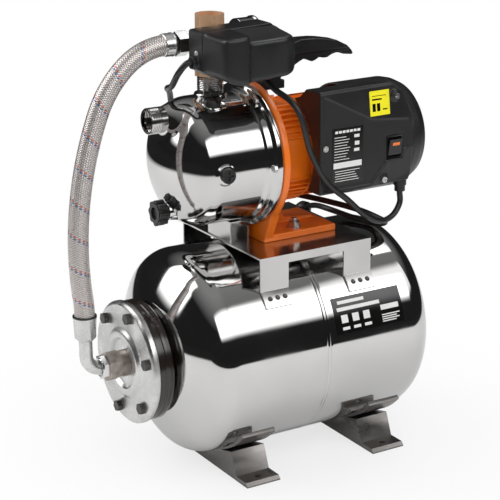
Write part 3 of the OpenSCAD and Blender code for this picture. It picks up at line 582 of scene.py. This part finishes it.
# ---------- pump ----------
def casing():
    """Deep drawn casing with a swelling behind the suction port and two beads before its rim."""
    apex = [(-x, r) for x, r in dished(82 * MM, 120 * MM, 34 * MM, 122 * MM, 30)]
    barrel = in_mm([(-122 + 4 * i, 82) for i in range(1, 15)])
    bead = in_mm([(-64.5, 82), (-63.2, 82.5), (-61.8, 84.6), (-60.6, 85.7), (-59, 86), (-55.5, 86)])
    flare = in_mm([(-54.2, 86.3), (-53.2, 87.2), (-51.6, 90.4), (-50.6, 91.6), (-49.4, 92)])
    rim = flare + in_mm([(-44, 92), (-43.2, 91.6), (-43, 90)])
    port_z = PUMP_Z + 59 * MM
    centre = Vector((SEAM_X - 50.6 * MM, 0, PUMP_Z))

    def swollen(co):
        along = max(-150 * MM, min(-100 * MM, co.x - SEAM_X))
        from_core = (co - Vector((SEAM_X + along, 0, port_z))).length - 23 * MM
        soft = 3.2 * MM
        push = soft * math.log(1 + math.exp(max(-30.0, -from_core / soft)))
        ripple = noise.noise(co * 16.0) * 0.12 * MM
        return (co - centre).normalized() * (push + ripple)

    bm = lathe(apex + barrel + bead + rim, Vector((SEAM_X, 0, PUMP_Z)), X, 256, swollen)
    mouth = [f for f in bm.faces if f.calc_center_median().x < SEAM_X - 140 * MM
             and math.hypot(f.calc_center_median().y, f.calc_center_median().z - port_z) < 15.2 * MM]
    bmesh.ops.delete(bm, geom=mouth, context="FACES")
    piece("casing_skin", bm, ["pump_casing"], sharp_deg=70)


def boss(name, face, along, r, deep):
    """Flat round face raised on the casing, with a hollow fillet round it."""
    fillet = [(-deep, r + 2.2), (-deep * 0.45, r + 0.8), (-0.9, r)]
    profile = in_mm(fillet + [(-0.3, r - 0.3), (0, r - 0.9), (0, 1)])
    piece(name, lathe(profile, face, along, 64), ["pump_casing"], sharp_deg=50)


def bosses():
    tilt = math.radians(20)
    leaning = Vector((0, -math.sin(tilt), math.cos(tilt)))
    boss("side_boss", at(-120, -83, 410), -Y, 12.5, 3)
    boss("filler_boss", at(-108, 0, 410) + leaning * 83 * MM, leaning, 13, 3)
    boss("drain_boss", at(-160.5, 0, 350), -X, 11, 16)
    collar = in_mm([(-14, 25), (-9, 22.6), (-5, 21.4), (-1, 20.8), (0, 20.2), (0, 16.8)])
    piece("outlet_collar", lathe(collar, at(-94, 0, 495), Z, 96), ["pump_casing"], sharp_deg=50)


def ports():
    """Male threads of the suction stub and the outlet, their crests turned as rings."""
    def threaded(name, origin, along, length, bore, plain, node):
        crest, pitch = [], 2.3
        for i in range(int((length - plain) / pitch)):
            x = length - 1.4 - i * pitch
            crest += [(x, 16.6), (x - 0.7, 16.6), (x - 1.3, 16.15), (x - 1.7, 16.15)]
        outline = [(length - 4, bore), (length, bore), (length, 15.8)] + crest + [(plain, 16.5), (0, 16.5)]
        piece(name, lathe(in_mm(outline), origin, along, 96), [node], "sheet_steel", 25)
    threaded("suction_thread", at(-163, 0, 469), -X, 22, 14, 8, "suction_socket")
    threaded("outlet_thread", at(-94, 0, 490), Z, 42, 13.5, 8, "outlet_nipple")


# ---------- flange and hose ----------
def flange():
    face = [(4, 15), (4, 28.5), (3.6, 30), (-0.2, 32.4), (-1, 33.4), (-1.2, 37), (-1, 41.2), (-0.3, 42.4),
            (2.3, 45.4), (3, 47), (3, 74.6), (3.3, 76), (5.4, 78.6), (6.4, 79.4), (7.4, 79.7),
            (11.4, 79.7), (12.4, 79.3), (13, 78), (13, 58)]
    origin = TANK_AXIS - X * 228 * MM
    piece("flange_plate", lathe(in_mm(face), origin, X, 160), ["tank_flange"], sharp_deg=28)
    rim = [(13, 72), (13, 76), (14, 77.6), (16, 78), (20.5, 78), (21.4, 77), (23, 77), (24, 78), (31.4, 78),
           (33, 77), (33.9, 74), (33.9, 61)]
    piece("neck_band", lathe(in_mm(rim), origin, X, 160), ["tank_neck_ring"], sharp_deg=40)


def hose_path(step):
    """Centre line of the hose from its upper end: four bends, each a radius and a turn in degrees."""
    point, heading, path = at(-156, 0, 561), 0.0, []
    for radius, turn in ((86, 40.5), (141, 28), (460, 28.7), (200, -7.2)):
        side = 1 if turn > 0 else -1
        hub = point + Vector((math.sin(heading), 0, -math.cos(heading))) * radius * MM * side
        count = max(2, int(radius * MM * abs(math.radians(turn)) / step))
        for i in range(count):
            h = heading + math.radians(turn) * i / count
            path.append(hub - Vector((math.sin(h), 0, -math.cos(h))) * radius * MM * side)
        heading += math.radians(turn)
        point = hub - Vector((math.sin(heading), 0, -math.cos(heading))) * radius * MM * side
    return path + [point]


CARRIERS, LAY = 14, 41 * MM


def weave(along, turn):
    """Height in metres of the braid, the painted shade between its strands, and which marker thread lies on
    top.
    """
    a = CARRIERS * (turn + along / LAY)
    b = CARRIERS * (turn - along / LAY)
    first = (math.floor(a) + math.floor(b)) % 2 == 0
    strand, across, over = (a, a % 1, b % 1) if first else (b, b % 1, a % 1)
    crown, bow = math.sin(math.pi * across), math.sin(math.pi * over)
    height = (0.30 * math.sqrt(crown) + 0.30 * bow) * MM
    # painted shade at the strand edges and under the crossing strand
    gap_shade = max(0.0, 1 - 1.5 * min(crown, bow + 0.2))
    number = math.floor(strand) % CARRIERS
    marked = first and crown > 0.45
    return height, gap_shade, marked and number == 0, marked and number == 1


def swept(path, radius, steps, relief=None):
    """Skin round a path; relief gives a height and three colour shares by length and share of a turn."""
    bm = bmesh.new()
    # the first layer holds painted shade between the braid's strands
    shares = [bm.verts.layers.float.new(key) for key in ("gap_shade", "red", "blue")]
    side, rings, travelled = None, [], 0.0
    for i, p in enumerate(path):
        ahead = (path[min(i + 1, len(path) - 1)] - path[max(i - 1, 0)]).normalized()
        side = side or ahead.orthogonal().normalized()
        side = (side - ahead * side.dot(ahead)).normalized()
        up = ahead.cross(side)
        travelled += (p - path[max(i - 1, 0)]).length
        ring = []
        for k in range(steps):
            angle = 2 * math.pi * k / steps
            height, *tones = relief(travelled, k / steps) if relief else (0.0, 0, 0, 0)
            out = side * math.cos(angle) + up * math.sin(angle)
            ring.append(bm.verts.new(p + out * (radius + height)))
            for layer, tone in zip(shares, tones):
                ring[-1][layer] = float(tone)
        rings.append(ring)
    for a, b in zip(rings, rings[1:]):
        for k in range(steps):
            j = (k + 1) % steps
            bm.faces.new((a[k], a[j], b[j], b[k]))
    bm.faces.new(rings[0])
    bm.faces.new(rings[-1])
    return bm


def hose():
    path = hose_path(0.38 * MM)
    piece("hose_weave", swept(path, 12.35 * MM, CARRIERS * 12, weave), ["braided_hose"], sharp_deg=80)
    foot = path[-1]
    sleeve = [(-31, 9), (-31, 10.4), (-30.2, 10.9), (-27.6, 13.6), (-26.4, 14.3), (-25, 14.5),
              (-4.2, 14.5), (-3.4, 14.9), (-2.8, 15.1), (-0.6, 15.1), (0, 14.6), (0.2, 12.6)]
    low = piece("lower_ferrule", lathe(in_mm(sleeve), foot, Z, 64), ["hose_ferrules"], sharp_deg=30)
    faceted(low, foot)
    start = path[0]
    upper = [(-9, 8.5), (-9, 14.2), (-8.4, 14.8), (-7, 15), (-6, 14.5), (3, 14.4), (4.6, 14.0), (5.4, 12.6)]
    piece("upper_ferrule", lathe(in_mm(upper), start, -X, 64), ["hose_ferrules"], sharp_deg=30)
    seal = [(-0.8, 15.3), (0.4, 15.3), (0.9, 14.9), (1.0, 12.6)]
    piece("ferrule_ring", lathe(in_mm(seal), foot, Z, 64), [], "black_rubber", 30, "set")


def faceted(obj, foot):
    """Eight spanner flats pressed into the lower half of a ferrule."""
    flat_r = 13.4 * MM
    for v in obj.data.vertices:
        drop = foot.z - v.co.z
        if 12 * MM < drop < 27 * MM:
            out = Vector((v.co.x - foot.x, v.co.y - foot.y, 0))
            angle = math.atan2(out.y, out.x) % (math.pi / 4) - math.pi / 8
            reach = min(out.length, flat_r / math.cos(angle))
            out = out.normalized() * reach
            v.co.x, v.co.y = foot.x + out.x, foot.y + out.y


# ---------- cables and marks ----------
def smooth_path(corners):
    """Curve through all corner points."""
    per_span = 10
    ends = [2 * corners[0] - corners[1]] + corners + [2 * corners[-1] - corners[-2]]
    path = []
    for a, b, c, d in zip(ends, ends[1:], ends[2:], ends[3:]):
        for i in range(per_span):
            t = i / per_span
            bend, twist = 2 * a - 5 * b + 4 * c - d, 3 * b - a - 3 * c + d
            path.append(0.5 * (2 * b + (c - a) * t + bend * t * t + twist * t ** 3))
    return path + [corners[-1]]


def cable(name, node, corners):
    """Round sheathed cable through places in millimetres."""
    sheath_r = 3.9 * MM
    piece(name, swept(smooth_path([at(*p) for p in corners]), sheath_r, 20), [node])


def plug(place, turn_deg):
    """Mains plug that points back and down: grip, flange and two round pins."""
    turn = math.radians(turn_deg)
    out = basis(place, (0, math.sin(turn), math.cos(turn))).to_3x3() @ X
    body = [(-5, 4.6), (0, 5.4), (3, 9), (6, 10.6), (10, 11), (31, 11), (33.5, 12), (34.5, 16),
            (35.5, 17), (39, 17), (40, 16), (40, 1)]
    piece("plug_body", lathe(in_mm(body), place, out, 48), ["mains_cable"], sharp_deg=40)
    pin = in_mm([(38, 2.4), (55, 2.4), (57.4, 1.6), (58, 0.4), (58, 0)])
    for s in (-1, 1):
        foot = place + X * 9.5 * MM * s
        piece(f"plug_pin_{s}", lathe(pin, foot, out, 24), [], "shaft_steel", 40, "set")


def cables():
    cable("switch_lead", "switch_cable", (
        (-40, -45, 534), (-40, -46, 514), (-38, -64, 503), (-32, -92, 492), (-24, -103, 470),
        (-12, -103, 430), (12, -103, 388), (46, -102, 358), (76, -98, 332), (104, -92, 318),
        (128, -86, 320), (142, -82.5, 334), (142, -82, 350), (142, -82, 366)))
    cable("mains_lead", "mains_cable", (
        (-137, -42, 545), (-150, -42, 545), (-158, -34, 532), (-154, -10, 512), (-144, 20, 502),
        (-120, 58, 486), (-96, 92, 446), (-70, 104, 400), (-40, 104, 364), (0, 88, 344),
        (40, 54, 334), (80, 6, 326), (106, -38, 320), (124, -60, 311), (137, -58, 302),
        (135, -38, 296), (118, -12, 300), (104, 20, 305), (101, 50, 304), (102, 78, 296)))
    plug(at(102, 78, 296), 127)


def plate(name, corners, thick_mm, slot):
    """Thin flat plate from its corner points, raised along the side they turn to."""
    bm = bmesh.new()
    face = bm.faces.new([bm.verts.new(c) for c in corners])
    face.normal_update()
    back = [bm.verts.new(c - face.normal * thick_mm * MM) for c in corners]
    front = list(face.verts)
    for i in range(len(front)):
        j = (i + 1) % len(front)
        bm.faces.new((front[i], back[i], back[j], front[j]))
    piece(name, bm, [], slot, 30, "set")


def on_front(y, x0, z0, x1, z1):
    """Corners of an upright rectangle that faces the front."""
    return [at(x0, y, z0), at(x1, y, z0), at(x1, y, z1), at(x0, y, z1)]


def marks(name, y, x, z, rows, slot):
    """Bars in place of print: each row is a left end, a right end, a height and a drop, in millimetres."""
    bm = bmesh.new()
    for left, right, height, drop in rows:
        corners = on_front(y, x + left, z - drop - height, x + right, z - drop)
        bm.faces.new([bm.verts.new(c) for c in corners])
    piece(name, bm, [], slot, 30, "set")


def motor_marks():
    plate("rating_plate", on_front(-94.15, 27, 377, 74, 450), 0.4, "gloss_black")
    title = [(4 + 5.6 * i, 8.4 + 5.6 * i, 3.2, 3) for i in range(7)]
    lines = [(3, 21 + (5 * i) % 7, 0.8, 11 + 3.6 * i) for i in range(9)]
    signs = [(33 + i % 2, 41, 4 + i % 2, 10 + 9 * i) for i in range(3)]
    notes = [(4 + i % 2, 42 - (7 * i) % 9, 0.8, 55 + 3.2 * i) for i in range(5)]
    rows = title + lines + signs + [(2, 45, 7.5, 44)] + notes
    marks("rating_print", -94.25, 27, 450, rows, "dial_white")


def between(x, points):
    """Height of a line through (x, z) points, held level beyond its ends."""
    for (xa, za), (xb, zb) in zip(points, points[1:]):
        if x < xb:
            return za + (zb - za) * max(0.0, x - xa) / (xb - xa)
    return points[-1][1]


UPPER_CREASE = [(14, 493), (88, 456), (146, 450)]
LOWER_CREASE = [(86, 367), (118, 404), (146, 412)]
FACET_SCREWS = [(124, 482), (107, 374)]


def leaning_back(x, z):
    """How far the cover's front leans back at a place, in millimetres; it stays flat round two screws."""
    above = z - between(x, UPPER_CREASE)
    below = between(x, LOWER_CREASE) - z if x > 86 else 0.0
    lean = 5.4 * min(1.0, max(0.0, above / 42)) + 4.0 * min(1.0, max(0.0, below / 36))
    nearest = min(math.hypot(x - sx, z - sz) for sx, sz in FACET_SCREWS)
    return lean * max(0.0, min(1.0, (nearest - 5.5) / 3))


def cover_facets(co):
    """Shift that leans the front of the motor cover back along its creases."""
    x, z = (co.x - SEAM_X) / MM, co.z / MM
    front = max(0.0, min(1.0, (-80 - co.y / MM) / 14))
    return Vector((0, leaning_back(x, z) * front * MM, 0))


def on_cover(name, x0, z0, x1, z1, lift, slot, look=None):
    """Thin patch that lies on the facets of the cover's front."""
    bm = bmesh.new()
    cols, rows = 8, 8
    grid = []
    for i in range(rows + 1):
        z = z0 + (z1 - z0) * i / rows
        xs = [x0 + (x1 - x0) * j / cols for j in range(cols + 1)]
        grid.append([bm.verts.new(at(x, leaning_back(x, z) - 95 - lift, z)) for x in xs])
    for lower, upper in zip(grid, grid[1:]):
        for j in range(cols):
            bm.faces.new((lower[j], lower[j + 1], upper[j + 1], upper[j]))
    piece(name, bm, [], slot, 60, "set", look)


def sticker():
    """Small yellow label with bars and blocks in place of print."""
    on_cover("sticker", 84, 459.5, 115, 491, 0.30, "dial_white", YELLOW)
    on_cover("sticker_bar_a", 88, 484, 110, 484.8, 0.40, "gloss_black")
    on_cover("sticker_bar_b", 88, 479, 103, 481, 0.40, "gloss_black")
    for i in range(2):
        on_cover(f"sticker_block_{i}", 88 + 7 * i, 465, 93 + 7 * i, 475, 0.40, "gloss_black")
    on_cover("sticker_bar_c", 104, 466, 111, 467.6, 0.40, "gloss_black")


def rocker_mark():
    """Orange bar on the upper half of the rocker."""
    bm = bmesh.new()
    places = ((119, -95.95, 417), (130, -95.95, 417), (130, -96.75, 421), (119, -96.75, 421))
    bm.faces.new([bm.verts.new(at(*p)) for p in places])
    piece("rocker_mark", bm, [], "orange_paint", 30, "rocker")


def screw(name, place, along, r, slot="zinc_steel"):
    """Pan head with a round hollow in place of its cross recess."""
    head = in_mm([(0, r), (0.8, r), (1.6, r * 0.86), (2.1, r * 0.55), (2.1, r * 0.3), (1.2, 0.1), (1.2, 0)])
    piece(name, lathe(head, place, along, 32), [], slot, 50, "set")


def tank_mark():
    """Label wrapped on the shell, with bars and boxes in place of print."""
    def wrapped(name, x0, x1, a0, a1, lift, slot):
        """Patch between two places in millimetres and two heights in degrees round the shell."""
        bm = bmesh.new()
        cols, rows = 24, 10
        grid = []
        for i in range(rows + 1):
            angle = math.radians(a0 + (a1 - a0) * i / rows)
            out = Vector((0, -math.cos(angle), math.sin(angle)))
            foot = TANK_AXIS + out * (TANK_R + lift * MM)
            xs = [x0 + (x1 - x0) * j / cols for j in range(cols + 1)]
            grid.append([bm.verts.new(foot + X * x * MM) for x in xs])
        for lower, upper in zip(grid, grid[1:]):
            for j in range(cols):
                bm.faces.new((lower[j], lower[j + 1], upper[j + 1], upper[j]))
        piece(name, bm, [], slot, 30, "set")
    wrapped("tank_label", 12.6, 117.7, 13.3, 33.3, 0.45, "gloss_black")
    bars = {"title": (21, 62, 29.4, 31.2), "line": (18, 84, 25.6, 27.6), "box": (84, 112, 21.6, 24.4)}
    for i in range(4):
        bars[f"text_{i}"] = (84, 112 - (i * 5) % 9, 18.6 - i * 1.2, 19.2 - i * 1.2)
    for i in range(3):
        bars[f"sign_{i}"] = (22 + i * 17, 32 + i * 17, 19.0, 23.4)
        bars[f"note_{i}"] = (22 + i * 17, 33 + i * 17, 15.2, 16.8)
    for name, corners in bars.items():
        wrapped(f"label_{name}", *corners, 0.55, "dial_white")


def welds():
    """Three spot welds on each foot of the platform's legs."""
    for x in (-61, 65):
        for i in (-1, 0, 1):
            for a in (-50, 39):
                angle = math.radians(a)
                out = Vector((0, math.sin(angle), math.cos(angle)))
                spot = TANK_AXIS + X * (x + 11 * i) * MM + out * (TANK_R + 3 * MM)
                dimple = in_mm([(-0.3, 3.4), (0.25, 2.9), (0.35, 2.5), (0.1, 2.0), (-0.15, 1.2), (-0.2, 0)])
                piece(f"weld_{x}_{i}_{a}", lathe(dimple, spot, out, 24), [], "dark_steel", 60, "set")


# ---------- parts ----------
EDGES = {
    "tank_flange_bolts": 0.5, "tank_feet": 1.3, "pump_platform": 0.7, "casing_support": 0.6,
    "hose_upper_nut": 0.7, "elbow_nut": 0.7, "casing_bolts": 0.4, "seal_plate": 0.5,
    "motor_housing": 0.5, "rocker_bezel": 0.6, "switch_rocker": 0.5, "cover_screws": 0.4,
    "base_bolts": 0.4, "cable_gland": 0.8, "five_way_fitting": 0.6,
    "gauge_case": 0.6, "filler_plug": 0.8, "side_plug": 0.7, "drain_knob": 0.7, "air_valve_cap": 1.0,
}

for name, node in frame["nodes"].items():
    dress(node, SLOT_OF[name])
for name, width in EDGES.items():
    softened(name, width)
melted("tank_nipple", 0.5, 3)
melted("motor_adapter", 1.1, 4)
melted("motor_cover", 0.8, 5, cover_facets)
melted("switch_base", 0.7, 6)
melted("switch_cover", 1.1, 5, soft_zone=lambda co: co.y < -64 * MM, zone_rounds=48)
melted("carry_handle", 0.7, 12)
tank()
casing()
bosses()
ports()
flange()
hose()
cables()
motor_marks()
sticker()
rocker_mark()
screw("switch_screw", at(-138, -44, 556), -X, 3.4)
tank_mark()
welds()
